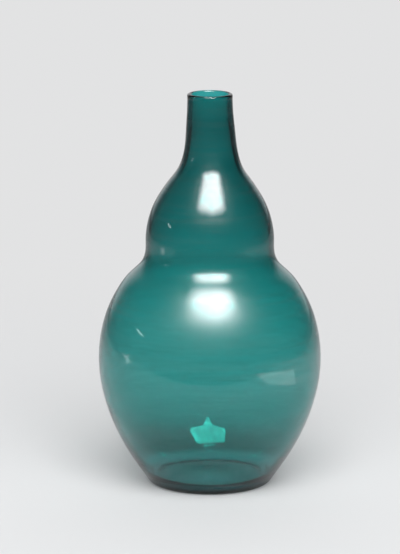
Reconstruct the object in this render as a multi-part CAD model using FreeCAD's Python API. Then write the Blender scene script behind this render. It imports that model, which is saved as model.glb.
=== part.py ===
import FreeCAD, Part
import math
import os

# Double gourd bottle vase, free-blown in clear teal glass.
# Millimetres, +Z up. The origin is the centre of the flat ring that the vase stands on.
# The wall is one skin of glass, divided where it is worked into base, foot ring, lower bulb,
# waist, upper bulb, neck and lip. Each seam is cut square through the wall, and the two sections
# beside it share its end points and its directions, so they meet face to face in one smooth line.

# Foot: the flat ground ring, and the heel that rounds up from it
foot_radius = 35.0
foot_ring_width = 6.0
heel_rounding = 5.5
heel_flare = 9.9
heel_height = 10.0
heel_wall = 2.8

# Base: the floor inside, level with the ring at its edge, and the low kick under it
floor_thickness = 3.2
floor_crown = 1.0
kick_height = 1.5

# Lower bulb: from the heel up to the equator, and over it to the waist
lower_bulb_radius = 70.5
lower_bulb_rise = 68.0
lower_bulb_wall = 1.6

# Waist: the narrow end of the concave step between the two gourds
waist_radius = 40.85
waist_rise = 71.0
waist_wall = 2.4

# Upper bulb: from the waist over the dome to the root of the neck
neck_root_radius = 16.55
neck_root_rise = 67.0
neck_root_wall = 3.2

# Neck: a drawn tube with a true round bore under the lip
neck_rise = 30.5
neck_wall = 2.95
mouth_bore_radius = 11.3
mouth_bore_length = 14.0

# Lip: the fire-polished bead round the mouth
lip_height = 3.5
lip_thickness = 2.7
lip_overhang = 0.1

# Outline tables. Each row is a share of the rise, of the change in outer radius and of the
# change in wall, counted from the low end of the stretch to its high end.
# Heel to equator
rise_shares = [
    (0.176, 0.309, 0.45),
    (0.441, 0.662, 0.80),
    (0.706, 0.893, 0.95),
    (1, 1, 1),
]
# Equator towards the waist: the crown belongs to the lower bulb, the step to the waist
crown_shares = [
    (0.268, 0.051, 0.05),
    (0.493, 0.206, 0.15),
    (0.662, 0.413, 0.30),
]
step_shares = [
    (0.761, 0.580, 0.50),
    (0.831, 0.749, 0.70),
    (0.901, 0.909, 0.85),
    (1, 1, 1),
]
# Waist towards the neck root: the dome belongs to the upper bulb, the sweep to the neck
dome_shares = [
    (0.134, 0.012, 0.05),
    (0.299, 0.075, 0.10),
    (0.448, 0.213, 0.20),
    (0.582, 0.418, 0.35),
    (0.701, 0.648, 0.55),
]
sweep_shares = [
    (0.791, 0.824, 0.75),
    (0.881, 0.928, 0.90),
    (1, 1, 1),
]
# Neck root to lip
neck_shares = [
    (0.393, 0.50, 0.40),
    (0.787, 0.90, 0.80),
    (1, 1, 1),
]

# Angles and directions
full_turn = 360
outward = FreeCAD.Vector(1, 0, 0)
upward = FreeCAD.Vector(0, 0, 1)
origin = FreeCAD.Vector(0, 0, 0)

# Radii and heights that follow from the sizes above
ring_inner_radius = foot_radius - foot_ring_width
heel_radius = foot_radius + heel_flare
neck_top_radius = mouth_bore_radius + neck_wall
equator_height = heel_height + lower_bulb_rise
waist_height = equator_height + waist_rise
neck_root_height = waist_height + neck_root_rise
neck_top_height = neck_root_height + neck_rise
lip_top_height = neck_top_height + lip_height
lip_radius = neck_top_radius + lip_overhang


def at(radius, height):
    # A point of the meridian
    return FreeCAD.Vector(radius, 0, height)


def straight(start, end):
    return Part.LineSegment(start, end).toShape()


def smooth(points, start_direction):
    # A smooth curve through many points that leaves the first in the given direction
    directions = [start_direction for point in points]
    given = [point is points[0] for point in points]
    curve = Part.BSplineCurve()
    curve.interpolate(Points=points, Tangents=directions, TangentFlags=given)
    return curve


def blend(start, start_direction, end, end_direction):
    # A smooth edge between two points, in the given directions at both ends
    curve = Part.BSplineCurve()
    curve.interpolate(Points=[start, end], InitialTangent=start_direction, FinalTangent=end_direction)
    return curve.toShape()


def direction(curve, point):
    # Which way a curve runs at one of its points
    return curve.tangent(curve.parameter(point))[0]


def stretch(curve, start, end):
    # The piece of a curve between two of its points
    return curve.toShape(curve.parameter(start), curve.parameter(end))


def stations(low, high, shares):
    # Outer points and walls of one stretch; low and high are its ends as (radius, height, wall)
    points = []
    walls = []
    for height_share, radius_share, wall_share in shares:
        radius = low[0] + radius_share * (high[0] - low[0])
        height = low[1] + height_share * (high[1] - low[1])
        points.append(at(radius, height))
        walls.append(low[2] + wall_share * (high[2] - low[2]))
    return points, walls


def heel_touch():
    # Where the straight heel leaves the rounding: the tangent from the heel seam to its circle
    centre = at(foot_radius, heel_rounding)
    seam = at(heel_radius, heel_height)
    reach = (seam - centre).Length
    seam_angle = math.atan2(heel_height - heel_rounding, heel_flare)
    touch_angle = seam_angle - math.acos(heel_rounding / reach)
    side = heel_rounding * math.cos(touch_angle)
    drop = heel_rounding * math.sin(touch_angle)
    middle_side = heel_rounding * math.cos((touch_angle - math.pi / 2) / 2)
    middle_drop = heel_rounding * math.sin((touch_angle - math.pi / 2) / 2)
    touch = centre + at(side, drop)
    middle = centre + at(middle_side, middle_drop)
    return middle, touch


def turned(edges):
    # One section: its half outline, turned round the axis
    face = Part.Face(Part.Wire(edges))
    return face.revolve(origin, upward, full_turn)


# The four stretches of the outside, from the heel seam to the lip seam
heel_end = (heel_radius, heel_height, heel_wall)
equator_end = (lower_bulb_radius, equator_height, lower_bulb_wall)
waist_end = (waist_radius, waist_height, waist_wall)
root_end = (neck_root_radius, neck_root_height, neck_root_wall)
top_end = (neck_top_radius, neck_top_height, neck_wall)

rise_points, rise_walls = stations(heel_end, equator_end, rise_shares)
crown_points, crown_walls = stations(equator_end, waist_end, crown_shares)
step_points, step_walls = stations(equator_end, waist_end, step_shares)
dome_points, dome_walls = stations(waist_end, root_end, dome_shares)
sweep_points, sweep_walls = stations(waist_end, root_end, sweep_shares)
neck_points, neck_walls = stations(root_end, top_end, neck_shares)

heel_seam = at(heel_radius, heel_height)
shoulder_seam = crown_points[-1]
waist_seam = step_points[-1]
neck_seam = dome_points[-1]
lip_seam = neck_points[-1]

# The outer line, one smooth curve through all stations
heel_middle, heel_leave = heel_touch()
heel_direction = (heel_seam - heel_leave).normalize()
wall_points = [heel_seam] + rise_points + crown_points + step_points + dome_points + sweep_points
wall_sizes = [heel_wall] + rise_walls + crown_walls + step_walls + dome_walls + sweep_walls
outer = smooth(wall_points + neck_points, heel_direction)


def inside(point, wall):
    # The point on the inner face, one wall away square to the outer line
    along = direction(outer, point)
    return point + at(-along.z, along.x) * wall


# The inner line leaves the bore of the mouth straight down and follows the outer one, one wall
# away, to the heel
bore_low = at(mouth_bore_radius, neck_top_height - mouth_bore_length)
bore_high = at(mouth_bore_radius, neck_top_height)
inner_points = [inside(point, wall) for point, wall in zip(wall_points, wall_sizes)]
inner = smooth([bore_low] + inner_points[::-1], -upward)
inner_at = dict(zip([(point.x, point.z) for point in wall_points], inner_points))


def inner_seam(point):
    return inner_at[(point.x, point.z)]


def wall_section(low_seam, high_seam):
    # A section of plain wall between two seams
    return turned([
        stretch(outer, low_seam, high_seam),
        straight(high_seam, inner_seam(high_seam)),
        stretch(inner, inner_seam(high_seam), inner_seam(low_seam)),
        straight(inner_seam(low_seam), low_seam),
    ])


def base():
    # Floor disc: crowned a little inside, with a low kick underneath
    edge_low = at(ring_inner_radius, 0)
    edge_high = at(ring_inner_radius, floor_thickness)
    centre_low = at(0, kick_height)
    centre_high = at(0, floor_thickness + floor_crown)
    kick_fall = at(ring_inner_radius, -2 * kick_height).normalize()
    return turned([
        blend(centre_low, outward, edge_low, kick_fall),
        straight(edge_low, edge_high),
        blend(centre_high, outward, edge_high, outward),
        straight(centre_high, centre_low),
    ])


def foot_ring():
    # Flat ground ring, rounded heel and the hollow corner inside it
    ring_edge = at(ring_inner_radius, 0)
    foot_edge = at(foot_radius, 0)
    floor_edge = at(ring_inner_radius, floor_thickness)
    heel_inside = inner_seam(heel_seam)
    return turned([
        straight(ring_edge, foot_edge),
        Part.Arc(foot_edge, heel_middle, heel_leave).toShape(),
        straight(heel_leave, heel_seam),
        straight(heel_seam, heel_inside),
        blend(floor_edge, outward, heel_inside, -direction(inner, heel_inside)),
        straight(floor_edge, ring_edge),
    ])


def lower_bulb():
    return wall_section(heel_seam, shoulder_seam)


def waist():
    return wall_section(shoulder_seam, waist_seam)


def upper_bulb():
    return wall_section(waist_seam, neck_seam)


def neck():
    # From the dome up to the lip, with the straight bore at its top
    return turned([
        stretch(outer, neck_seam, lip_seam),
        straight(lip_seam, bore_high),
        straight(bore_high, bore_low),
        stretch(inner, bore_low, inner_seam(neck_seam)),
        straight(inner_seam(neck_seam), neck_seam),
    ])


def lip():
    # Rounded bead, a little proud of the neck and a little wider than the bore
    bead_radius = lip_thickness / 2
    bead_height = lip_top_height - bead_radius
    outer_side = at(lip_radius, bead_height)
    inner_side = at(lip_radius - lip_thickness, bead_height)
    crest = at(lip_radius - bead_radius, lip_top_height)
    return turned([
        blend(lip_seam, direction(outer, lip_seam), outer_side, upward),
        Part.Arc(outer_side, crest, inner_side).toShape(),
        blend(inner_side, -upward, bore_high, -upward),
        straight(bore_high, lip_seam),
    ])


os.makedirs("parts", exist_ok=True)
for section in (base, foot_ring, lower_bulb, waist, upper_bulb, neck, lip):
    section().exportStep("parts/" + section.__name__ + ".step")
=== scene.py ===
import logging
import math
from dataclasses import dataclass, field
from enum import Enum

import bpy
import numpy as np
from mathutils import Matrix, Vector


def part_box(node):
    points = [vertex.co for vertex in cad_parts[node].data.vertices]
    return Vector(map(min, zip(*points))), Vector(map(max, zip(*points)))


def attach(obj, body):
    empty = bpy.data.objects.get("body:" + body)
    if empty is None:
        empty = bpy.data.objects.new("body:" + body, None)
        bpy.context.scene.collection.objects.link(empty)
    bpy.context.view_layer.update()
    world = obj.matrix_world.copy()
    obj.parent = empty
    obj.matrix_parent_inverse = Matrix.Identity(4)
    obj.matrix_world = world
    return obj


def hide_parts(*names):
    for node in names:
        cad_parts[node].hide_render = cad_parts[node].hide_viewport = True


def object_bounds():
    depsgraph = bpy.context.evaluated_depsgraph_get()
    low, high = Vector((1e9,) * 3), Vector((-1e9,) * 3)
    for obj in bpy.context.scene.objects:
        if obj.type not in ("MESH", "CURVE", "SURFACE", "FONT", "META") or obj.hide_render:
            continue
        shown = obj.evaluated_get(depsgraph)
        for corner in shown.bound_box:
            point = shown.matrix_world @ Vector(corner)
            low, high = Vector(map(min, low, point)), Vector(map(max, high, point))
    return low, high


# Double gourd bottle vase of clear teal glass.
# Metres, +Z up, in the frame of the CAD model: the origin is the centre of the flat foot ring.
# The glass is one closed wall, as it is on the real vase. Seven section classes give it its
# outline, each for one CAD node, and one mesh stands for all seven nodes.

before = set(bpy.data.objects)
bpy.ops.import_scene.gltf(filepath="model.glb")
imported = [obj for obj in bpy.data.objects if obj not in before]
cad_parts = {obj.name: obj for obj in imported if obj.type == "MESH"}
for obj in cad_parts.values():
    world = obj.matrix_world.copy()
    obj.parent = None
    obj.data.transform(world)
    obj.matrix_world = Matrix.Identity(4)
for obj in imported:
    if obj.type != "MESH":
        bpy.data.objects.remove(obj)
cad_low, cad_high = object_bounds()

log = logging.getLogger("vase")

BODY = "root"
FULL_TURN = 2 * math.pi
WHITE = (1.0, 1.0, 1.0, 1.0)

# Directions in the half outline, as radius and height
OUTWARD = (1, 0)
UPWARD = (0, 1)
DOWNWARD = (0, -1)

Row = tuple[float, float] | np.ndarray
Shares = tuple[tuple[float, float, float], ...]


class Side(Enum):
    """Which face of the wall a ring of the mesh lies on."""

    OUTSIDE = 0.0
    INSIDE = 1.0


@dataclass(frozen=True)
class Station:
    """A point of the outside of the wall, with the glass behind it.

    Attributes:
        radius: Distance from the axis.
        height: Height above the table.
        wall: Thickness of the glass, square to the outside.
    """

    radius: float
    height: float
    wall: float

    def towards(self, other: "Station", shares: tuple[float, float, float]) -> "Station":
        """Finds a station between this one and another.

        Args:
            other: The station at the far end of the stretch.
            shares: Shares of the rise, of the change in radius and of the change in wall.

        Returns:
            The station at those shares.
        """
        rise, swell, thinning = shares
        return Station(
            self.radius + swell * (other.radius - self.radius),
            self.height + rise * (other.height - self.height),
            self.wall + thinning * (other.wall - self.wall),
        )

    def point(self) -> np.ndarray:
        """Returns the station as a (radius, height) row."""
        return np.array((self.radius, self.height))


class MeridianCurve:
    """A smooth curve through points of the half outline, each a (radius, height) row."""

    def __init__(self, points: list[Row], start: Row | None = None, end: Row | None = None) -> None:
        """Finds the slopes that make the curve smooth.

        Args:
            points: The points that the curve runs through.
            start: Direction at the first point, or None where the curve may choose it.
            end: Direction at the last point, or None where the curve may choose it.
        """
        self.points = np.array(points, float)
        self.spans = np.linalg.norm(np.diff(self.points, axis=0), axis=1)
        self.slopes = self._slopes(start, end)

    def _slopes(self, start: Row | None, end: Row | None) -> np.ndarray:
        """Solves for the slope at each point.

        Args:
            start: Direction at the first point, or None.
            end: Direction at the last point, or None.

        Returns:
            One slope for each point.
        """
        count = len(self.points)
        steps = np.diff(self.points, axis=0)
        inverse = 1 / self.spans
        matrix = np.zeros((count, count))
        right = np.zeros((count, 2))
        for i in range(1, count - 1):
            matrix[i, i - 1] = inverse[i - 1]
            matrix[i, i] = 2 * (inverse[i - 1] + inverse[i])
            matrix[i, i + 1] = inverse[i]
            right[i] = 3 * (steps[i - 1] * inverse[i - 1] ** 2 + steps[i] * inverse[i] ** 2)
        for i, beside, given, step, span in (
            (0, 1, start, steps[0], self.spans[0]),
            (count - 1, count - 2, end, steps[-1], self.spans[-1]),
        ):
            if given is None:
                matrix[i, i] = 2
                matrix[i, beside] = 1
                right[i] = 3 * step / span
            else:
                matrix[i, i] = 1
                right[i] = np.array(given) / np.linalg.norm(given)
        return np.linalg.solve(matrix, right)

    def direction(self, index: int) -> np.ndarray:
        """Returns the unit direction of the curve at one of its points."""
        slope = self.slopes[index]
        return slope / np.linalg.norm(slope)

    def stretch(self, first: int, last: int, step: float) -> np.ndarray:
        """Samples the curve between two of its points.

        Args:
            first: Index of the point where the stretch starts.
            last: Index of the point where it ends.
            step: Largest distance between two samples.

        Returns:
            Rows of radius and height, with both ends.
        """
        rows = [self.points[first : first + 1]]
        for i in range(first, last):
            span = self.spans[i]
            count = max(2, math.ceil(span / step))
            t = np.linspace(0, 1, count + 1)[1:, None]
            rows.append(
                (2 * t**3 - 3 * t**2 + 1) * self.points[i]
                + (t**3 - 2 * t**2 + t) * span * self.slopes[i]
                + (3 * t**2 - 2 * t**3) * self.points[i + 1]
                + (t**3 - t**2) * span * self.slopes[i + 1]
            )
        return np.vstack(rows)


def arc(centre: np.ndarray, radius: float, start: float, end: float, count: int) -> np.ndarray:
    """Samples an arc of the half outline.

    Args:
        centre: Centre of the arc, as radius and height.
        radius: Radius of the arc.
        start: Angle of its first point above the horizontal.
        end: Angle of its last point above the horizontal.
        count: Number of samples.

    Returns:
        Rows of radius and height.
    """
    angles = np.linspace(start, end, count)
    return centre + radius * np.column_stack((np.cos(angles), np.sin(angles)))


def hump(height: float, middle: float, reach: float) -> float:
    """Returns 1 at the middle height, and less the further a height is from it."""
    return math.exp(-(((height - middle) / reach) ** 2))


@dataclass(frozen=True)
class Polish:
    """How smooth one face of a section is.

    Attributes:
        haze: Share of the face that fine lines and rubbing have dulled.
        lines: How strong the relief of the turning lines is, from 0 to 1.
    """

    haze: float
    lines: float


@dataclass(frozen=True)
class Rings:
    """Rings of the mesh, in order along the half outline.

    Attributes:
        outline: Rows of radius and height.
        side: The face of the wall that they lie on.
        polish: How smooth that face is.
    """

    outline: np.ndarray
    side: Side
    polish: Polish


@dataclass
class Base:
    """The floor disc, crowned a little inside, with a low kick underneath."""

    node: str = "base"
    thickness: float = 0.0032
    kick: float = 0.0015
    step: float = 0.0015
    polish: Polish = Polish(haze=0.2, lines=0.1)

    def underside(self) -> Rings:
        """Builds the kick.

        Returns:
            Its rings, from the axis out to the ring.
        """
        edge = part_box(self.node)[1].x
        curve = MeridianCurve([(0, self.kick), (edge, 0)], OUTWARD, OUTWARD)
        return Rings(curve.stretch(0, 1, self.step), Side.OUTSIDE, self.polish)

    def floor(self) -> Rings:
        """Builds the floor inside.

        Returns:
            Its rings, from the ring in to the axis.
        """
        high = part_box(self.node)[1]
        curve = MeridianCurve([(0, high.z), (high.x, self.thickness)], OUTWARD, OUTWARD)
        return Rings(curve.stretch(0, 1, self.step)[::-1], Side.INSIDE, self.polish)


@dataclass
class FootRing:
    """The flat ground ring and the heel that rounds up from it."""

    node: str = "foot_ring"
    ground_radius: float = 0.035
    rounding: float = 0.0055
    rounding_points: int = 14
    heel_points: int = 4
    heel_wall: float = 0.0028
    step: float = 0.0012
    ground: Polish = Polish(haze=0.5, lines=0.6)
    polish: Polish = Polish(haze=0.2, lines=0.2)

    def heel(self) -> Station:
        """Returns the station where the heel meets the lower bulb."""
        return Station(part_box(self.node)[1].x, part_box("lower_bulb")[0].z, self.heel_wall)

    def _touch(self) -> float:
        """Finds where the straight heel leaves the rounding.

        Returns:
            The angle of that point above the horizontal.
        """
        heel = self.heel()
        rise = heel.height - self.rounding
        run = heel.radius - self.ground_radius
        return math.atan2(rise, run) - math.acos(self.rounding / math.hypot(rise, run))

    def heel_direction(self) -> np.ndarray:
        """Returns the direction of the straight heel, outwards and up."""
        touch = self._touch()
        return np.array((-math.sin(touch), math.cos(touch)))

    def outside(self) -> list[Rings]:
        """Builds the outside of the foot.

        Returns:
            The ground ring, then the rounding and the straight heel.
        """
        inner_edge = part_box("base")[1].x
        count = math.ceil((self.ground_radius - inner_edge) / self.step) + 1
        flat = np.column_stack((np.linspace(inner_edge, self.ground_radius, count), np.zeros(count)))
        centre = np.array((self.ground_radius, self.rounding))
        rounded = arc(centre, self.rounding, -math.pi / 2, self._touch(), self.rounding_points)
        straight = np.linspace(rounded[-1], self.heel().point(), self.heel_points)[1:]
        return [
            Rings(flat, Side.OUTSIDE, self.ground),
            Rings(np.vstack((rounded, straight)), Side.OUTSIDE, self.polish),
        ]

    def inside(self, heel_inside: np.ndarray, direction: np.ndarray, floor: float) -> Rings:
        """Joins the inner wall to the floor.

        Args:
            heel_inside: Inner point of the heel seam.
            direction: Direction of the inner wall there, upwards.
            floor: Height of the floor at its edge.

        Returns:
            The hollow corner, from the wall down to the floor.
        """
        edge = (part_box("base")[1].x, floor)
        corner = MeridianCurve([edge, heel_inside], OUTWARD, direction)
        return Rings(corner.stretch(0, 1, self.step)[::-1], Side.INSIDE, self.polish)


@dataclass
class WallSection:
    """A stretch of plain wall between two seams, with its stations as shares of a longer stretch.

    Attributes:
        node: The CAD node that it stands for.
        shares: Shares of the rise, of the change in radius and of the change in wall.
        outer_polish: How smooth its outside is.
        inner_polish: How smooth its inside is.
    """

    node: str
    shares: Shares
    outer_polish: Polish
    inner_polish: Polish

    def stations(self, low: Station, high: Station) -> list[Station]:
        """Returns its stations, upwards, from both ends of the longer stretch."""
        return [low.towards(high, shares) for shares in self.shares]


@dataclass
class LowerBulb(WallSection):
    """The full lower gourd: the rise to its equator, and the crown over it."""

    node: str = "lower_bulb"
    shares: Shares = ((0.268, 0.051, 0.05), (0.493, 0.206, 0.15), (0.662, 0.413, 0.30))
    rise_shares: Shares = (
        (0.176, 0.309, 0.45),
        (0.441, 0.662, 0.80),
        (0.706, 0.893, 0.95),
        (1, 1, 1),
    )
    equator_radius: float = 0.0705
    equator_height: float = 0.078
    equator_wall: float = 0.0016
    outer_polish: Polish = Polish(haze=1.0, lines=0.8)
    rise_polish: Polish = Polish(haze=0.35, lines=0.8)
    inner_polish: Polish = Polish(haze=0.15, lines=0.6)

    def equator(self) -> Station:
        """Returns the widest station of the vase."""
        return Station(self.equator_radius, self.equator_height, self.equator_wall)

    def rise(self, heel: Station) -> list[Station]:
        """Returns the stations from the heel to the equator."""
        return [heel.towards(self.equator(), shares) for shares in self.rise_shares]


@dataclass
class Waist(WallSection):
    """The concave step that was necked in between the two gourds."""

    node: str = "waist"
    shares: Shares = (
        (0.761, 0.580, 0.50),
        (0.831, 0.749, 0.70),
        (0.901, 0.909, 0.85),
        (1, 1, 1),
    )
    seam_wall: float = 0.0024
    outer_polish: Polish = Polish(haze=0.5, lines=0.5)
    inner_polish: Polish = Polish(haze=0.15, lines=0.5)

    def seam(self) -> Station:
        """Returns the station where the waist meets the upper bulb."""
        return Station(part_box("upper_bulb")[1].x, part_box(self.node)[1].z, self.seam_wall)


@dataclass
class UpperBulb(WallSection):
    """The bell-shaped upper gourd."""

    node: str = "upper_bulb"
    shares: Shares = (
        (0.134, 0.012, 0.05),
        (0.299, 0.075, 0.10),
        (0.448, 0.213, 0.20),
        (0.582, 0.418, 0.35),
        (0.701, 0.648, 0.55),
    )
    outer_polish: Polish = Polish(haze=0.6, lines=0.8)
    inner_polish: Polish = Polish(haze=0.15, lines=0.6)


@dataclass
class Neck(WallSection):
    """The drawn tube above the dome, with a round bore under the lip.

    The bore is wider by `ease` at its low end, so that it runs into the wall below.
    """

    node: str = "neck"
    shares: Shares = ((0.791, 0.824, 0.75), (0.881, 0.928, 0.90), (1, 1, 1))
    tube_shares: Shares = ((0.393, 0.50, 0.40), (0.787, 0.90, 0.80), (1, 1, 1))
    root_radius: float = 0.01655
    root_height: float = 0.216
    root_wall: float = 0.0032
    top_radius: float = 0.01425
    top_wall: float = 0.00295
    bore_length: float = 0.014
    ease: float = 0.00022
    outer_polish: Polish = Polish(haze=0.5, lines=0.4)
    inner_polish: Polish = Polish(haze=0.15, lines=0.4)

    def root(self) -> Station:
        """Returns the station at the foot of the tube."""
        return Station(self.root_radius, self.root_height, self.root_wall)

    def top(self) -> Station:
        """Returns the station where the neck meets the lip."""
        return Station(self.top_radius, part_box(self.node)[1].z, self.top_wall)

    def tube(self) -> list[Station]:
        """Returns the stations of the tube."""
        return [self.root().towards(self.top(), shares) for shares in self.tube_shares]

    def bore(self) -> list[np.ndarray]:
        """Places the bore.

        Returns:
            Its points at the top, in the middle and at the low end.
        """
        top = self.top()
        radius = top.radius - top.wall
        return [
            np.array((radius + share**2 * self.ease, top.height - share * self.bore_length))
            for share in (0.0, 0.5, 1.0)
        ]


@dataclass
class Lip:
    """The fire-polished bead round the mouth."""

    node: str = "lip"
    thickness: float = 0.0027
    step: float = 0.0004
    crest_points: int = 17
    polish: Polish = Polish(haze=0.05, lines=0.0)

    def over(self, neck_top: np.ndarray, direction: np.ndarray, bore_top: np.ndarray) -> Rings:
        """Rounds the bead over from the outside to the bore.

        Args:
            neck_top: Outer point of the lip seam.
            direction: Direction of the outside there, upwards.
            bore_top: Inner point of the lip seam.

        Returns:
            The bead, from the outside over the crest to the bore.
        """
        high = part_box(self.node)[1]
        bead = self.thickness / 2
        centre = np.array((high.x - bead, high.z - bead))
        outer_side = centre + (bead, 0)
        inner_side = centre - (bead, 0)
        rise = MeridianCurve([neck_top, outer_side], direction, UPWARD)
        fall = MeridianCurve([inner_side, bore_top], DOWNWARD, DOWNWARD)
        rows = np.vstack((
            rise.stretch(0, 1, self.step),
            arc(centre, bead, 0, math.pi, self.crest_points)[1:],
            fall.stretch(0, 1, self.step)[1:],
        ))
        return Rings(rows, Side.OUTSIDE, self.polish)


@dataclass(frozen=True)
class Wobble:
    """The small unevenness of a hand-blown wall.

    Attributes:
        depth: Greatest inward dent of the outside.
        inner_depth: Greatest dent of the inside, which the maker never touches.
        gather: How much the inside is thicker under the neck, where the glass is drawn from.
        gather_height: Height where it is thickest.
        gather_reach: Distance over which that fades out.
        lean: How far the neck bulges to +X.
        lean_height: Height where it bulges most.
        lean_reach: Distance over which that fades out.
        low: Height where the dents begin, so that the foot stays flat and round.
        settle: Rise over which they reach their full depth.
    """

    depth: float = 0.00008
    inner_depth: float = 0.00020
    gather: float = 0.0006
    gather_height: float = 0.180
    gather_reach: float = 0.024
    lean: float = 0.0006
    lean_height: float = 0.214
    lean_reach: float = 0.020
    low: float = 0.006
    settle: float = 0.020

    def dents(self, height: float, angle: np.ndarray, side: Side) -> np.ndarray:
        """Finds the dents of a face.

        Args:
            height: Height of the points.
            angle: Angles of the points round the axis.
            side: The face that they lie on.

        Returns:
            How far each point lies inwards of the true outline.
        """
        ramp = np.clip((height - self.low) / self.settle, 0, 1)
        # A wave has a few lobes round the wall and turns by some radians a metre up it
        if side is Side.OUTSIDE:
            wave = np.sin(2 * angle + 31 * height + 0.6) + 0.5 * np.sin(3 * angle - 47 * height)
            crest = 1.5
            return self.depth * ramp * (wave + crest) / (2 * crest)
        wave = np.sin(2 * angle - 39 * height) + 0.6 * np.sin(5 * angle + 83 * height + 1.0)
        wave += 0.5 * np.sin(210 * height + 0.8 * np.sin(angle + 2.0))
        crest = 2.1
        swell = self.gather * hump(height, self.gather_height, self.gather_reach)
        return self.inner_depth * ramp * (wave + crest) / (2 * crest) + swell

    def shift(self, height: float) -> float:
        """Returns how far the axis lies to +X at a height."""
        return self.lean * hump(height, self.lean_height, self.lean_reach)


@dataclass(frozen=True)
class Rub:
    """Where use has made the outside matt: the front of the shoulder, and the foot.

    Attributes:
        foot: Height below which standing has worn it.
        height: Height of the middle of the shoulder patch.
        reach: How far that fades out above and below.
        facing: Angle round the axis that it faces.
        inner: How far round it is fully matt.
        outer: How far round it ends.
    """

    foot: float = 0.004
    height: float = 0.1165
    reach: float = 0.018
    facing: float = -math.pi / 2
    inner: float = 0.45
    outer: float = 0.78

    def share(self, height: float, angle: np.ndarray) -> np.ndarray:
        """Finds how matt the outside is at some points.

        Args:
            height: Height of the points.
            angle: Angles of the points round the axis.

        Returns:
            A share from 0 to 1 for each point.
        """
        turn = np.abs((angle - self.facing + math.pi) % FULL_TURN - math.pi)
        t = np.clip((self.outer - turn) / (self.outer - self.inner), 0, 1)
        patch = t * t * (3 - 2 * t) * hump(height, self.height, self.reach)
        return np.maximum(patch, max(0.0, 1 - height / self.foot))


class Tree:
    """Short calls for building a shader node tree."""

    def __init__(self, tree: bpy.types.NodeTree) -> None:
        """Keeps the tree and empties it."""
        self.tree = tree
        tree.nodes.clear()

    @classmethod
    def of(cls, owner: bpy.types.Material | bpy.types.World) -> "Tree":
        """Returns the emptied tree of a material or world."""
        owner.use_nodes = True
        return cls(owner.node_tree)

    def add(self, kind: str, inputs: dict | None = None, **settings: object) -> bpy.types.Node:
        """Adds a node.

        Args:
            kind: Blender's type name of the node.
            inputs: Values or sockets for its inputs, by name or number.
            settings: Properties of the node.

        Returns:
            The new node.
        """
        node = self.tree.nodes.new(kind)
        for name, value in settings.items():
            setattr(node, name, value)
        for name, value in (inputs or {}).items():
            socket = node.inputs[name]
            if isinstance(value, bpy.types.NodeSocket):
                self.tree.links.new(value, socket)
            else:
                socket.default_value = value
        return node

    def math(self, operation: str, *values: object, clamp: bool = False) -> bpy.types.NodeSocket:
        """Adds a Math node and returns its output.

        Args:
            operation: Blender's name of the operation.
            values: Numbers or sockets.
            clamp: Whether to keep the result from 0 to 1.

        Returns:
            The output socket.
        """
        inputs = dict(enumerate(values))
        return self.add("ShaderNodeMath", inputs, operation=operation, use_clamp=clamp).outputs[0]

    def ramp(self, value: object, low: object, high: object, *ends: float) -> bpy.types.NodeSocket:
        """Adds a smooth step.

        Args:
            value: The socket to read.
            low: Value at which the step begins.
            high: Value at which it ends.
            ends: Results before and after the step, 0 and 1 if not given.

        Returns:
            The output socket.
        """
        start, end = ends or (0.0, 1.0)
        inputs = {"Value": value, "From Min": low, "From Max": high, "To Min": start, "To Max": end}
        node = self.add("ShaderNodeMapRange", inputs, interpolation_type="SMOOTHSTEP")
        return node.outputs["Result"]

    def blend(self, share: object, first: tuple, second: tuple) -> bpy.types.NodeSocket:
        """Mixes two colours.

        Args:
            share: Share of the second colour.
            first: Red, green and blue of the first colour.
            second: Red, green and blue of the second colour.

        Returns:
            The output socket.
        """
        inputs = {0: share, 6: (*first, 1.0), 7: (*second, 1.0)}
        return self.add("ShaderNodeMix", inputs, data_type="RGBA").outputs[2]

    def parts(self, vector: bpy.types.NodeSocket) -> bpy.types.NodeOutputs:
        """Returns the X, Y and Z of a vector."""
        return self.add("ShaderNodeSeparateXYZ", {0: vector}).outputs

    def mark(self, name: str) -> bpy.types.NodeSocket:
        """Returns a value that the mesh carries on its points."""
        return self.add("ShaderNodeAttribute", attribute_name=name).outputs["Fac"]

    def surface(self, shader: bpy.types.Node) -> None:
        """Makes a shader the surface of the material."""
        self.add("ShaderNodeOutputMaterial", {"Surface": shader.outputs[0]})


def turned_lines() -> bpy.types.ShaderNodeTree:
    """Builds the group of fine lines that turning leaves round a blown wall.

    Returns:
        A group with inputs Spacing, Reach, Tilt, Seed, Low and High, and outputs Height and Mask.
    """
    group = bpy.data.node_groups.new("turned_lines", "ShaderNodeTree")
    for name in ("Spacing", "Reach", "Tilt", "Seed", "Low", "High"):
        group.interface.new_socket(name, in_out="INPUT", socket_type="NodeSocketFloat")
    for name in ("Height", "Mask"):
        group.interface.new_socket(name, in_out="OUTPUT", socket_type="NodeSocketFloat")
    tree = Tree(group)
    given = tree.add("NodeGroupInput").outputs
    place = tree.add("ShaderNodeTexCoord").outputs["Object"]
    level_axis = (0.6, 0.8, 0.0)
    turn = {"Vector": place, "Angle": given["Tilt"], "Axis": level_axis}
    tilted = tree.add("ShaderNodeVectorRotate", turn, rotation_type="AXIS_ANGLE")
    parts = tree.parts(tilted.outputs[0])
    stretched = tree.add("ShaderNodeCombineXYZ", {
        "X": tree.math("DIVIDE", parts["X"], given["Reach"]),
        "Y": tree.math("DIVIDE", parts["Y"], given["Reach"]),
        "Z": tree.math("DIVIDE", parts["Z"], given["Spacing"]),
    })
    noise = tree.add(
        "ShaderNodeTexNoise",
        {"Vector": stretched.outputs[0], "W": given["Seed"], "Scale": 1.0, "Detail": 2.0},
        noise_dimensions="4D",
    )
    height = noise.outputs[0]
    mask = tree.ramp(height, given["Low"], given["High"])
    tree.add("NodeGroupOutput", {"Height": height, "Mask": mask})
    return group


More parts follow.
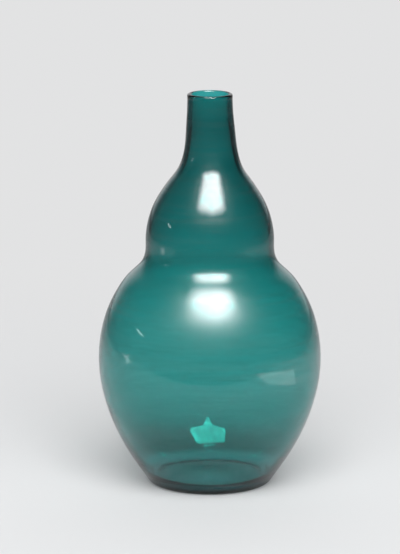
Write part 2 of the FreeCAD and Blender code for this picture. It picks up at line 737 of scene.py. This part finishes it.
@dataclass(frozen=True)
class LineFamily:
    """One family of fine lines.

    Attributes:
        spacing: Distance between two lines.
        reach: Length over which a line changes.
        tilt: Slope of the lines.
        seed: Seed of their pattern on the outside.
        low: Noise below which there is no line.
        high: Noise above which a line is full.
    """

    spacing: float
    reach: float
    tilt: float
    seed: float
    low: float
    high: float


@dataclass(frozen=True)
class TealGlass:
    """Clear teal glass, coloured all through, fire-polished and finely lined by turning.

    Attributes:
        colour: What the glass passes of red, green and blue, for Density.
        density: How strongly it absorbs, per metre.
        index: Index of refraction.
        rough: Roughness of the fire-polished face.
        rubbed_rough: How much rougher the rubbed patch is.
        rubbed_haze: How much more worn it is.
        haze_rough: Roughness of the fine wear on it.
        haze_index: Index of the worn layer, which gives its strength.
        even: Share of the wear that lies evenly over a face.
        banded: Share of it that gathers in bands of fine lines.
        band_floor: Wear of such a band between its lines.
        scratched: Share of it that lies in the few crossing scratches.
        line_depth: Height of the relief that the lines leave.
        broad_relief: Relief of the broad lines beside the fine ones.
        fine_streak: How much the fine lines tint the glass.
        broad_streak: How much the broad ones do.
        clear: Tint between the lines.
        streaked: Tint of the lines.
        inner_seed: How far the seeds of the inside are from those of the outside.
        fine: The fine lines.
        broad: The broad bands that they gather in.
        crossing: The scratches that cross them.
    """

    colour: tuple[float, float, float] = (0.0, 0.75, 0.764)
    density: float = 1035.0
    index: float = 1.5
    rough: float = 0.03
    rubbed_rough: float = 0.23
    rubbed_haze: float = 0.45
    haze_rough: float = 0.36
    haze_index: float = 1.8
    even: float = 0.38
    banded: float = 0.95
    band_floor: float = 0.2
    scratched: float = 0.5
    line_depth: float = 0.000004
    broad_relief: float = 2.0
    fine_streak: float = 0.4
    broad_streak: float = 0.6
    clear: tuple[float, float, float] = (1.0, 1.0, 0.945)
    streaked: tuple[float, float, float] = (0.89, 0.95, 0.88)
    inner_seed: float = 7.0
    fine: LineFamily = LineFamily(0.0016, 0.10, 0.0, 0.0, 0.47, 0.61)
    broad: LineFamily = LineFamily(0.0030, 0.12, 0.02, 3.0, 0.35, 0.70)
    crossing: LineFamily = LineFamily(0.0007, 0.05, 0.16, 5.0, 0.68, 0.74)

    def _family(
        self, tree: Tree, lines: bpy.types.ShaderNodeTree, family: LineFamily
    ) -> bpy.types.NodeOutputs:
        """Places one family of lines, with another seed inside the wall than outside.

        Args:
            tree: The tree of the material.
            lines: The group of turning lines.
            family: Its values.

        Returns:
            The outputs Height and Mask.
        """
        seed = tree.math("MULTIPLY_ADD", tree.mark("inside"), self.inner_seed, family.seed)
        inputs = {
            "Spacing": family.spacing,
            "Reach": family.reach,
            "Tilt": family.tilt,
            "Seed": seed,
            "Low": family.low,
            "High": family.high,
        }
        return tree.add("ShaderNodeGroup", inputs, node_tree=lines).outputs

    def material(self, lines: bpy.types.ShaderNodeTree) -> bpy.types.Material:
        """Builds the material.

        Args:
            lines: The group of turning lines.

        Returns:
            The material.
        """
        made = bpy.data.materials.new("teal_glass")
        tree = Tree.of(made)
        rubbed = tree.mark("rubbed")
        fine = self._family(tree, lines, self.fine)
        broad = self._family(tree, lines, self.broad)
        crossing = self._family(tree, lines, self.crossing)
        # Wear lies over the whole face, gathers in bands of fine lines and has a few scratches
        band = tree.math("ADD", fine["Mask"], self.band_floor)
        wear = tree.math("MULTIPLY", band, broad["Mask"])
        wear = tree.math("MULTIPLY_ADD", wear, self.banded, self.even)
        wear = tree.math("MULTIPLY_ADD", crossing["Mask"], self.scratched, wear)
        wear = tree.math("MULTIPLY_ADD", rubbed, self.rubbed_haze, wear)
        wear = tree.math("MULTIPLY", wear, tree.mark("haze"), clamp=True)
        relief = tree.math("MULTIPLY_ADD", broad["Height"], self.broad_relief, fine["Height"])
        relief = tree.math("MULTIPLY", relief, tree.mark("lines"))
        bump = tree.add("ShaderNodeBump", {"Height": relief, "Distance": self.line_depth})
        streaks = tree.math("MULTIPLY", broad["Mask"], self.broad_streak)
        streaks = tree.math("MULTIPLY_ADD", fine["Mask"], self.fine_streak, streaks)
        glass = tree.add("ShaderNodeBsdfPrincipled", {
            "Base Color": tree.blend(streaks, self.clear, self.streaked),
            "Roughness": tree.math("MULTIPLY_ADD", rubbed, self.rubbed_rough, self.rough),
            "IOR": self.index,
            "Transmission Weight": 1.0,
            "Coat Weight": wear,
            "Coat Roughness": self.haze_rough,
            "Coat IOR": self.haze_index,
            "Normal": bump.outputs[0],
        })
        colour = (*self.colour, 1.0)
        depth = tree.add("ShaderNodeVolumeAbsorption", {"Color": colour, "Density": self.density})
        ends = {"Surface": glass.outputs[0], "Volume": depth.outputs[0]}
        tree.add("ShaderNodeOutputMaterial", ends)
        return made


def link(name: str, data: bpy.types.ID) -> bpy.types.Object:
    """Makes an object and links it into the scene.

    Args:
        name: Its name.
        data: Its mesh, lamp or camera.

    Returns:
        The object.
    """
    made = bpy.data.objects.new(name, data)
    bpy.context.scene.collection.objects.link(made)
    return made


@dataclass
class GlassWall:
    """The whole vase: one closed wall, made of the rings that its sections give.

    Attributes:
        name: Name of the piece.
        base: The floor disc.
        foot: The ground ring and heel.
        lower: The lower bulb.
        waist: The step between the bulbs.
        upper: The upper bulb.
        neck: The neck.
        lip: The lip.
        wobble: Its unevenness.
        rub: Its matt patches.
        step: Largest distance between two rings of plain wall.
        same: Distance within which two rings are one.
        segments: Number of points in a ring.
        blend: Number of rings over which the finish of one section runs into the next.
    """

    name: str = "vase_glass"
    base: Base = field(default_factory=Base)
    foot: FootRing = field(default_factory=FootRing)
    lower: LowerBulb = field(default_factory=LowerBulb)
    waist: Waist = field(default_factory=Waist)
    upper: UpperBulb = field(default_factory=UpperBulb)
    neck: Neck = field(default_factory=Neck)
    lip: Lip = field(default_factory=Lip)
    wobble: Wobble = Wobble()
    rub: Rub = Rub()
    step: float = 0.0011
    same: float = 1e-7
    segments: int = 256
    blend: int = 12

    def rings(self) -> list[Rings]:
        """Builds the rings of all sections.

        Returns:
            The rings, from the axis below, over the lip, to the axis inside.
        """
        heel = self.foot.heel()
        equator, seam, root = self.lower.equator(), self.waist.seam(), self.neck.root()
        rise = self.lower.rise(heel)
        crown = self.lower.stations(equator, seam)
        step = self.waist.stations(equator, seam)
        dome = self.upper.stations(seam, root)
        sweep = self.neck.stations(seam, root)
        stations = [heel] + rise + crown + step + dome + sweep
        walled = len(stations)
        outer_points = [s.point() for s in stations + self.neck.tube()]
        outer = MeridianCurve(outer_points, self.foot.heel_direction())

        inner_points = []
        for i, station in enumerate(stations):
            along = outer.direction(i)
            inner_points.append(station.point() + station.wall * np.array((-along[1], along[0])))
        bore = self.neck.bore()
        inner = MeridianCurve(bore + inner_points[::-1], DOWNWARD)

        # Where each section starts and ends in the list of stations
        shoulder = len(rise) + len(crown)
        waist_end = shoulder + len(step)
        dome_end = waist_end + len(dome)
        spans = [
            (self.lower, 0, len(rise), self.lower.rise_polish),
            (self.lower, len(rise), shoulder, self.lower.outer_polish),
            (self.waist, shoulder, waist_end, self.waist.outer_polish),
            (self.upper, waist_end, dome_end, self.upper.outer_polish),
            (self.neck, dome_end, walled, self.neck.outer_polish),
        ]
        made = [self.base.underside(), *self.foot.outside()]
        last = len(outer_points) - 1
        for section, first, end, polish in spans:
            end = last if section is self.neck else end
            made.append(Rings(outer.stretch(first, end, self.step), Side.OUTSIDE, polish))
        made.append(self.lip.over(outer_points[last], outer.direction(last), bore[0]))
        lowest = len(bore) + walled - 1
        for section, first, end, _ in spans[::-1]:
            start = 0 if section is self.neck else lowest - end
            outline = inner.stretch(start, lowest - first, self.step)
            made.append(Rings(outline, Side.INSIDE, section.inner_polish))
        heel_up = -inner.direction(lowest)
        made.append(self.foot.inside(inner_points[0], heel_up, self.base.thickness))
        made.append(self.base.floor())
        return made

    def _outline(self) -> tuple[np.ndarray, list[Side], np.ndarray]:
        """Joins the rings of all sections into one half outline.

        Returns:
            Its rows from pole to pole, the face that each lies on, and its haze and lines.
        """
        rows, sides, finish = [], [], []
        for rings in self.rings():
            for row in rings.outline:
                if rows and np.linalg.norm(row - rows[-1]) < self.same:
                    continue
                rows.append(row)
                sides.append(rings.side)
                finish.append((rings.polish.haze, rings.polish.lines))
        finish = np.array(finish)
        # The finish changes gradually from one section to the next
        window = np.ones(2 * self.blend + 1) / (2 * self.blend + 1)
        for side in Side:
            face = [i for i, other in enumerate(sides) if other is side]
            padded = np.pad(finish[face], ((self.blend, self.blend), (0, 0)), "edge")
            for column in (0, 1):
                finish[face, column] = np.convolve(padded[:, column], window, "valid")
        return np.array(rows), sides, finish

    def build(self) -> bpy.types.Object:
        """Builds the closed mesh.

        Returns:
            The glass, with the attributes inside, haze, lines and rubbed on its points.
        """
        rows, sides, finish = self._outline()
        angles = np.arange(self.segments) * FULL_TURN / self.segments
        points = [(0.0, 0.0, self.base.kick)]
        rubbed = [np.zeros(1)]
        for (radius, height), side in zip(rows[1:-1], sides[1:-1]):
            spread = radius - self.wobble.dents(height, angles, side)
            x = spread * np.cos(angles) + self.wobble.shift(height)
            y = spread * np.sin(angles)
            points += zip(x, y, np.full(self.segments, height))
            rubbed.append(self.rub.share(height, angles) * (side is Side.OUTSIDE))
        points.append((0.0, 0.0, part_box(self.base.node)[1].z))
        rubbed.append(np.zeros(1))
        ring_count = len(rows) - 2
        mesh = bpy.data.meshes.new(self.name)
        mesh.from_pydata(points, [], self._faces(ring_count))
        mesh.update()
        mesh.shade_smooth()
        repeats = [1] + [self.segments] * ring_count + [1]
        for name, values in (
            ("inside", np.repeat([side.value for side in sides], repeats)),
            ("haze", np.repeat(finish[:, 0], repeats)),
            ("lines", np.repeat(finish[:, 1], repeats)),
            ("rubbed", np.concatenate(rubbed)),
        ):
            attribute = mesh.attributes.new(name, "FLOAT", "POINT")
            attribute.data.foreach_set("value", values.astype(np.float32))
        return link(self.name, mesh)

    def _faces(self, ring_count: int) -> list[tuple[int, ...]]:
        """Lists the faces between the rings, and the fans at the two poles.

        Args:
            ring_count: Number of rings between the poles.

        Returns:
            The faces, wound so that their normals point out of the glass.
        """
        count = self.segments
        around = [(i, (i + 1) % count) for i in range(count)]
        faces = [(0, 1 + b, 1 + a) for a, b in around]
        for ring in range(ring_count - 1):
            low = 1 + ring * count
            high = low + count
            faces += [(low + a, low + b, high + b, high + a) for a, b in around]
        top = 1 + (ring_count - 1) * count
        pole = top + count
        faces += [(top + a, top + b, pole) for a, b in around]
        return faces

    def dress(self, glass: bpy.types.Object, material: bpy.types.Material) -> None:
        """Gives the glass its finish and its place in the frame.

        Args:
            glass: The mesh object.
            material: The glass material.
        """
        glass.data.materials.append(material)
        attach(glass, BODY)
        sections = (self.base, self.foot, self.lower, self.waist, self.upper, self.neck, self.lip)
        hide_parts(*[section.node for section in sections])


def panel(name: str, outline: list[tuple], material: bpy.types.Material) -> bpy.types.Object:
    """Makes a flat piece of the stage.

    Args:
        name: Its name.
        outline: Its corners.
        material: Its material.

    Returns:
        The piece.
    """
    mesh = bpy.data.meshes.new(name)
    mesh.from_pydata(outline, [], [tuple(range(len(outline)))])
    mesh.materials.append(material)
    return link(name, mesh)


def show_only_to(card: bpy.types.Object, glossy: bool, transmission: bool) -> None:
    """Hides a card from every ray but reflections.

    Args:
        card: The card.
        glossy: Whether the outside of the glass reflects it.
        transmission: Whether light through the glass meets it.
    """
    card.visible_camera = False
    card.visible_diffuse = False
    card.visible_shadow = False
    card.visible_glossy = glossy
    card.visible_transmission = transmission


@dataclass(frozen=True)
class PaleSweep:
    """The pale table and backdrop: one colour, with a soft shadow by the vase, a painted glow under the
    foot and painted shade in its reflections.

    Attributes:
        shade: Colour of the far table and the backdrop as the camera sees it.
        paper: Colour of the table as the lamps light it.
        fleck: How bright the darker flecks of its grain are.
        flecks: Flecks of its grain in a metre.
        front: How far the table reaches in front of the axis, as reflections see it.
        half_width: How far it reaches to each side, as reflections see it.
        painted_far_share: Painted shade: how bright reflections see the table at that distance.
        painted_near_dulling: Painted shade: how much of it they lose at the foot.
        room: Brightness of what they see instead.
        reach: Half the side of the floor mesh.
        gap: How far it lies under the foot, which touches it only in places.
        under: Painted glow on the table under the foot, seen only by rays through the glass, standing in
            for the light that the foot passes down.
        painted_glow_ends: Distances from the axis over which that painted glow fades out.
        painted_contact_shade: Painted shade: how dark the outside of the glass reflects the table at the
            foot.
        painted_contact_ends: Distances from the axis over which that painted shade fades out.
        near: Distance from the axis within which the floor takes shadow.
        far: Distance from the axis beyond which it has the plain shade.
    """

    shade: tuple[float, float, float] = (0.762, 0.765, 0.770)
    paper: tuple[float, float, float] = (0.745, 0.750, 0.755)
    fleck: float = 0.985
    flecks: float = 900.0
    front: float = 0.35
    half_width: float = 1.1
    # Painted shade on the table as reflections see it, darker far out and at the foot
    painted_far_share: float = 0.35
    painted_near_dulling: float = 0.15
    room: float = 0.12
    reach: float = 6.0
    gap: float = 0.00005
    # Painted glow on the table under the foot, seen only through the glass
    under: float = 0.95
    painted_glow_ends: tuple[float, float] = (0.040, 0.070)
    # Painted shade in the reflection of the table just outside the foot
    painted_contact_shade: float = 0.7
    painted_contact_ends: tuple[float, float] = (0.036, 0.046)
    near: float = 0.22
    far: float = 0.7

    def material(self) -> bpy.types.Material:
        """Builds the paper of the table.

        Returns:
            The material.
        """
        made = bpy.data.materials.new("pale_paper")
        tree = Tree.of(made)
        place = tree.add("ShaderNodeNewGeometry").outputs["Position"]
        parts = tree.parts(place)
        path = tree.add("ShaderNodeLightPath").outputs
        away = tree.add("ShaderNodeVectorMath", {0: place}, operation="LENGTH").outputs["Value"]
        grain = tree.add("ShaderNodeTexNoise", {"Vector": place, "Scale": self.flecks, "Detail": 2.0})
        low = tuple(self.fleck * value for value in self.paper)
        lit = tree.add("ShaderNodeBsdfDiffuse", {"Color": tree.blend(grain.outputs[0], low, self.paper)})
        # Painted glow: the table under the foot shines for rays that come through the glass before any
        # scattering
        inside = tree.math("GREATER_THAN", path["Transmission Depth"], 0.5)
        first = tree.math("LESS_THAN", path["Diffuse Depth"], 0.5)
        below = tree.ramp(away, *self.painted_glow_ends, self.under, 0.0)
        below = tree.math("MULTIPLY", tree.math("MULTIPLY", below, inside), first)
        shade = (*self.shade, 1.0)
        painted_glow = tree.add("ShaderNodeEmission", {"Color": shade, "Strength": below})
        lit = tree.add("ShaderNodeAddShader", {0: lit.outputs[0], 1: painted_glow.outputs[0]})
        plain = tree.add("ShaderNodeEmission", {"Color": shade, "Strength": 1.0})
        distant = tree.ramp(away, self.near, self.far)
        seen = tree.add("ShaderNodeMixShader", {0: distant, 1: lit.outputs[0], 2: plain.outputs[0]})

        # Reflections see the table only as far as its front and side edges; painted shade darkens it far
        # out and just outside the foot
        past_front = tree.math("LESS_THAN", parts["Y"], -self.front)
        past_side = tree.math("GREATER_THAN", tree.math("ABSOLUTE", parts["X"]), self.half_width)
        past = tree.math("MAXIMUM", past_front, past_side)
        # Painted shade: reflections see the table darker the further it lies from the axis
        painted_falloff = tree.ramp(away, 0.0, self.half_width, self.painted_near_dulling, 1.0 - self.painted_far_share)
        outside = tree.math("SUBTRACT", 1.0, inside)
        # Painted shade: reflections from outside the glass see the table dark just outside the foot
        painted_contact_share = tree.ramp(away, *self.painted_contact_ends, self.painted_contact_shade, 0.0)
        painted_falloff = tree.math("MAXIMUM", painted_falloff, tree.math("MULTIPLY", painted_contact_share, outside))
        reflected = tree.math("GREATER_THAN", path["Glossy Depth"], 0.5)
        dark = tree.math("MULTIPLY", tree.math("MAXIMUM", past, painted_falloff), reflected)
        colour = (self.room, self.room, self.room, 1.0)
        room = tree.add("ShaderNodeEmission", {"Color": colour, "Strength": 1.0})
        tree.surface(tree.add("ShaderNodeMixShader", {0: dark, 1: seen.outputs[0], 2: room.outputs[0]}))
        return made

    def build(self) -> bpy.types.Object:
        """Builds the floor.

        Returns:
            The floor, which is part of the stage.
        """
        r = self.reach
        outline = [(-r, -r, 0.0), (r, -r, 0.0), (r, r, 0.0), (-r, r, 0.0)]
        table = panel("table", outline, self.material())
        table.location.z = -self.gap
        return table


@dataclass(frozen=True)
class Room:
    """What surrounds the stage: pale behind the vase and where the camera looks, dark elsewhere.

    Attributes:
        backdrop: Colour of the backdrop.
        front_light: Light that the room gives the table from its bright front.
        front_way: Where the front is brightest.
        front_power: How narrow the bright front is.
        back_light: Light that it gives the table from the backdrop.
        back_power: How narrow the backdrop's light is.
        side_light: Light that it gives the table from all round, low down.
        side_top: Height at which that ends, as the Z of a unit vector.
        side_power: How low it keeps.
        left: Brightness of the room to the left of the vase, in reflections.
        right: Brightness of the room to its right.
        spread: Where it reaches them, as the X of a unit vector.
        inner: How far from +Y the backdrop begins to fade, in degrees.
        outer: How far from +Y it ends.
        top: Height above the horizon at which it ends.
    """

    backdrop: tuple[float, float, float] = (0.762, 0.765, 0.770)
    front_light: float = 6.2
    front_way: tuple[float, float, float] = (0.087, -0.996, 0.0)
    front_power: float = 4.0
    back_light: float = 1.7
    back_power: float = 3.0
    side_light: float = 0.9
    side_top: float = 0.9
    side_power: float = 2.0
    left: float = 0.13
    right: float = 0.07
    spread: float = 0.6
    inner: float = 18.0
    outer: float = 50.0
    top: float = 60.0

    def _light(
        self, tree: Tree, way: bpy.types.NodeSocket, parts: bpy.types.NodeOutputs
    ) -> bpy.types.NodeSocket:
        """Finds the light of the table, mostly from low down in front and behind.

        Args:
            tree: The tree of the world.
            way: The direction that a ray looks in.
            parts: Its X, Y and Z.

        Returns:
            The strength of the light from there.
        """
        front = tree.add("ShaderNodeVectorMath", {0: way, 1: self.front_way}, operation="DOT_PRODUCT")
        front = tree.math("MAXIMUM", front.outputs["Value"], 0.0)
        back = tree.math("MAXIMUM", parts["Y"], 0.0)
        rise = tree.math("POWER", tree.math("DIVIDE", parts["Z"], self.side_top), 2.0)
        low = tree.math("MAXIMUM", tree.math("SUBTRACT", 1.0, rise), 0.0)
        light = 0.0
        for toward, power, share in (
            (front, self.front_power, self.front_light),
            (back, self.back_power, self.back_light),
            (low, self.side_power, self.side_light),
        ):
            light = tree.math("MULTIPLY_ADD", tree.math("POWER", toward, power), share, light)
        return tree.math("DIVIDE", light, self.backdrop[1])

    def build(self) -> bpy.types.World:
        """Builds the world.

        Returns:
            The world.
        """
        world = bpy.data.worlds.new("studio")
        bpy.context.scene.world = world
        world.cycles.sampling_method = "NONE"
        tree = Tree.of(world)
        path = tree.add("ShaderNodeLightPath").outputs
        way = tree.add("ShaderNodeTexCoord").outputs["Generated"]
        parts = tree.parts(way)
        bearing = tree.math("ARCTAN2", tree.math("ABSOLUTE", parts["X"]), parts["Y"])
        behind = tree.ramp(bearing, math.radians(self.inner), math.radians(self.outer), 1.0, 0.0)
        lift = tree.math("ARCSINE", parts["Z"])
        below = tree.ramp(lift, math.radians(self.top / 2), math.radians(self.top), 1.0, 0.0)
        behind = tree.math("MULTIPLY", behind, below)
        room = tree.ramp(parts["X"], -self.spread, self.spread, self.left, self.right)

        direct = tree.math("LESS_THAN", path["Glossy Depth"], 0.5)
        straight = tree.math("MULTIPLY", path["Is Transmission Ray"], direct)
        seen = tree.math("MAXIMUM", path["Is Camera Ray"], straight)
        pale = tree.math("MAXIMUM", seen, behind)
        level = tree.math("MAXIMUM", pale, room)
        lighting = tree.math("GREATER_THAN", path["Diffuse Depth"], 0.5)
        strengths = {0: lighting, 2: level, 3: self._light(tree, way, parts)}
        strength = tree.add("ShaderNodeMix", strengths).outputs[0]
        sky = tree.add("ShaderNodeBackground", {"Color": (*self.backdrop, 1.0), "Strength": strength})
        tree.add("ShaderNodeOutputWorld", {"Surface": sky.outputs[0]})
        return world


@dataclass(frozen=True)
class Softbox:
    """The main lamp, in front of the vase and above it.

    Its cloth is built twice: soft for what the outside of the glass reflects, and sharp for the
    light that goes through the glass. Widths and heights on it are shares of the distance.

    Attributes:
        aim: The point that it faces.
        distance: How far it stands from that point.
        elevation: Its height above the horizon, in degrees.
        aside: How far it stands to the right, in metres.
        outline: Right half of the soft cloth from the top down.
        half_width: Half its greatest width.
        soft: Half the width of its soft edge.
        inner_outline: Right half of the sharp cloth from the top down.
        seam: Half the width of the gap between the two panels.
        seam_share: Brightness of that gap beside the panels.
        left_share: Brightness of the left panel beside the right one.
        glow: Brightness of the soft cloth.
        inner_glow: Brightness of the sharp one.
        inner_colour: Colour of the sharp one.
        light: Brightness with which it lights the table.
        lamp_size: Width and height of the lamp that does so.
    """

    aim: tuple[float, float, float] = (0.0, 0.0, 0.13)
    distance: float = 2.4
    elevation: float = 58.0
    aside: float = 0.10
    outline: tuple[tuple[float, float], ...] = (
        (0.25, 0.40), (0.36, 0.06), (0.40, -0.12), (0.30, -0.22), (0.0, -0.31),
    )
    half_width: float = 0.40
    soft: float = 0.15
    inner_outline: tuple[tuple[float, float], ...] = (
        (0.08, 0.086), (0.31, 0.045), (0.385, 0.041), (0.39, -0.04), (0.12, -0.085), (0.03, -0.20),
        (0.0, -0.24),
    )
    seam: float = 0.006
    seam_share: float = 0.35
    left_share: float = 0.86
    glow: float = 17.0
    inner_glow: float = 35.0
    inner_colour: tuple[float, float, float, float] = (1.0, 1.0, 0.88, 1.0)
    light: float = 3.2
    lamp_size: tuple[float, float] = (0.70, 0.55)

    def _place(self, made: bpy.types.Object) -> None:
        """Puts an object where the softbox is, facing the vase.

        Args:
            made: The cloth or the lamp.
        """
        angle = math.radians(self.elevation)
        back = Vector((0, -math.cos(angle), math.sin(angle)))
        made.location = Vector(self.aim) + back * self.distance + Vector((self.aside, 0, 0))
        made.rotation_mode = "QUATERNION"
        made.rotation_quaternion = (-back).to_track_quat("-Z", "Y")

    def _edge(self, tree: Tree, across: object, up: object) -> bpy.types.NodeSocket:
        """Fades the cloth out over its edge.

        Args:
            tree: The tree of its material.
            across: Distance from the middle of the cloth.
            up: Height on the cloth.

        Returns:
            1 well inside the outline, 0 well outside it.
        """
        outside = -1.0
        turns = [(0.0, self.outline[0][1]), *self.outline]
        for (x0, y0), (x1, y1) in zip(turns, turns[1:]):
            length = math.hypot(x1 - x0, y1 - y0)
            nx, ny = (y0 - y1) / length, (x1 - x0) / length
            offset = (nx * x0 + ny * y0) * self.distance
            beyond = tree.math("MULTIPLY_ADD", up, ny, tree.math("MULTIPLY_ADD", across, nx, -offset))
            outside = tree.math("MAXIMUM", beyond, outside)
        reach = self.soft * self.distance
        return tree.ramp(outside, -reach, reach, 1.0, 0.0)

    def _panels(self, tree: Tree, parts: bpy.types.NodeOutputs) -> bpy.types.NodeSocket:
        """Divides the cloth into its two panels.

        Args:
            tree: The tree of its material.
            parts: Place on the cloth, as X and Y.

        Returns:
            How bright it is there.
        """
        edge = 0.5 * self.seam * self.distance
        share = tree.ramp(parts["X"], -edge, edge, self.left_share, 1.0)
        across = tree.math("ABSOLUTE", parts["X"])
        gap = tree.ramp(across, 0.0, 2 * edge, self.seam_share, 1.0)
        return tree.math("MULTIPLY", share, gap)

    def _cloth(self, outline: tuple, material: bpy.types.Material) -> bpy.types.Object:
        """Builds a cloth.

        Args:
            outline: Its right half from the top down, ending in the middle.
            material: Its material, whose name it takes.

        Returns:
            The cloth, which is part of the stage.
        """
        right = [(x * self.distance, y * self.distance, 0.0) for x, y in outline]
        left = [(-x, y, z) for x, y, z in right[-2::-1]]
        card = panel(material.name, right + left, material)
        self._place(card)
        return card

    def _front_cloth(self) -> bpy.types.Object:
        """Builds the cloth that the outside of the glass reflects.

        Returns:
            The soft cloth, as large as its edge needs.
        """
        made = bpy.data.materials.new("softbox_front")
        tree = Tree.of(made)
        parts = tree.parts(tree.add("ShaderNodeTexCoord").outputs["Object"])
        across = tree.math("ABSOLUTE", parts["X"])
        fade = self._edge(tree, across, parts["Y"])
        glow = tree.math("MULTIPLY", fade, self._panels(tree, parts))
        glow = tree.math("MULTIPLY", glow, self.glow)
        tree.surface(tree.add("ShaderNodeEmission", {"Color": WHITE, "Strength": glow}))
        side = self.half_width + self.soft
        top = self.outline[0][1] + self.soft
        low = self.outline[-1][1] - self.soft
        card = self._cloth(((side, top), (side, low), (0.0, low)), made)
        show_only_to(card, glossy=True, transmission=False)
        return card

    def _through_cloth(self) -> bpy.types.Object:
        """Builds the cloth that light through the glass meets.

        Returns:
            The sharp cloth, which also gives the table the light that the glass passes.
        """
        made = bpy.data.materials.new("softbox_through")
        made.cycles.emission_sampling = "NONE"
        tree = Tree.of(made)
        parts = tree.parts(tree.add("ShaderNodeTexCoord").outputs["Object"])
        path = tree.add("ShaderNodeLightPath").outputs
        scattered = tree.math("GREATER_THAN", path["Diffuse Depth"], 0.5)
        reflected = tree.math("GREATER_THAN", path["Glossy Depth"], 0.5)
        glow = tree.math("MULTIPLY", self._panels(tree, parts), self.inner_glow)
        glow = tree.math("MULTIPLY", glow, reflected)
        strength = tree.add("ShaderNodeMix", {0: scattered, 2: glow, 3: self.light}).outputs[0]
        shine = tree.add("ShaderNodeEmission", {"Color": self.inner_colour, "Strength": strength})
        clear = tree.add("ShaderNodeBsdfTransparent")
        met = tree.math("MAXIMUM", scattered, reflected)
        mixed = {0: met, 1: clear.outputs[0], 2: shine.outputs[0]}
        tree.surface(tree.add("ShaderNodeMixShader", mixed))
        card = self._cloth(self.inner_outline, made)
        show_only_to(card, glossy=False, transmission=True)
        return card

    def build(self) -> list[bpy.types.Object]:
        """Builds the softbox.

        Returns:
            Its two cloths, and the lamp that lights the table.
        """
        cloths = [self._front_cloth(), self._through_cloth()]
        lamp = bpy.data.lights.new("softbox_lamp", "AREA")
        lamp.shape = "RECTANGLE"
        lamp.size = self.lamp_size[0] * self.distance
        lamp.size_y = self.lamp_size[1] * self.distance
        # Four watts for each square metre and unit of brightness
        lamp.energy = 4.0 * self.light * lamp.size * lamp.size_y
        light = link("softbox_lamp", lamp)
        self._place(light)
        light.visible_camera = False
        light.visible_glossy = False
        light.visible_transmission = False
        return [*cloths, light]


@dataclass(frozen=True)
class Card:
    """A pale card or small lamp beside the vase, which only reflections see.

    Attributes:
        name: Its name.
        glow: Its brightness.
        outline: Its corners.
    """

    name: str
    glow: float
    outline: tuple[tuple[float, float, float], ...]

    def build(self) -> bpy.types.Object:
        """Builds the card.

        Returns:
            The card, which is part of the stage.
        """
        made = bpy.data.materials.new(self.name)
        tree = Tree.of(made)
        tree.surface(tree.add("ShaderNodeEmission", {"Color": WHITE, "Strength": self.glow}))
        card = panel(self.name, self.outline, made)
        show_only_to(card, glossy=True, transmission=False)
        return card


CARDS = (
    Card("sheet_right", 1.9, (
        (0.50, 0.0, 0.001), (0.26, 0.0, 0.001), (0.26, -0.19, 0.001), (0.49, -0.46, 0.001),
    )),
    Card("stand_left", 2.6, (
        (-0.48, -0.085, 0.040), (-0.48, -0.028, 0.044), (-0.48, -0.010, 0.026),
        (-0.48, 0.008, 0.053), (-0.48, 0.075, 0.075), (-0.48, 0.004, 0.065),
        (-0.48, -0.030, 0.085), (-0.48, -0.028, 0.058),
    )),
    Card("lamp_left", 10.0, (
        (-1.92, -0.08, 0.640), (-1.92, -0.47, 0.560), (-1.92, -0.47, 0.535), (-1.92, -0.08, 0.605),
    )),
)


@dataclass(frozen=True)
class PhotoCamera:
    """The camera of the photograph.

    Attributes:
        focal_px: Focal length in pixels of the photograph.
        frame_px: Width and height of the photograph in pixels.
        axis_px: Where the axis of the vase stands in it, from the left.
        distance: Horizontal distance from the axis of the vase.
        height: Height above the table.
        pitch: How far it looks down, in degrees.
        sensor: Width of the sensor, in millimetres.
    """

    focal_px: float = 3785.5
    frame_px: tuple[int, int] = (400, 554)
    axis_px: float = 209.8
    distance: float = 2.342
    height: float = 0.62696
    pitch: float = 11.9208
    sensor: float = 36.0

    def build(self) -> bpy.types.Object:
        """Builds the camera and makes it the scene's.

        Returns:
            The camera.
        """
        data = bpy.data.cameras.new("photo_camera")
        data.sensor_width = self.sensor
        data.lens = self.focal_px / max(self.frame_px) * self.sensor
        camera = link("photo_camera", data)
        tilt = math.radians(self.pitch)
        middle = (cad_low.z + cad_high.z) / 2
        depth = self.distance * math.cos(tilt) + (self.height - middle) * math.sin(tilt)
        aside = (self.axis_px - self.frame_px[0] / 2) * depth / self.focal_px
        camera.location = (-aside, -self.distance, self.height)
        camera.rotation_euler = (math.pi / 2 - tilt, 0.0, 0.0)
        bpy.context.scene.camera = camera
        return camera


def main() -> None:
    """Builds the vase and its stage."""
    logging.basicConfig(level=logging.INFO, format="%(message)s")
    scene = bpy.context.scene
    scene.view_settings.view_transform = "Standard"
    scene.cycles.max_bounces = 20
    scene.cycles.transmission_bounces = 20
    scene.cycles.glossy_bounces = 8
    scene.cycles.sample_clamp_indirect = 60.0

    vase = GlassWall()
    glass = vase.build()
    vase.dress(glass, TealGlass().material(turned_lines()))
    log.info("%s: %d points, %d faces", glass.name, len(glass.data.vertices), len(glass.data.polygons))

    log.info("%s: half side %.1f m", PaleSweep().build().name, PaleSweep.reach)
    log.info("%s: world", Room().build().name)
    for part in Softbox().build():
        log.info("%s: %.2f m up", part.name, part.location.z)
    for card in CARDS:
        log.info("%s: card", card.build().name)
    camera = PhotoCamera().build()
    log.info("%s: lens %.1f mm", camera.name, camera.data.lens)


if __name__ == "__main__":
    main()
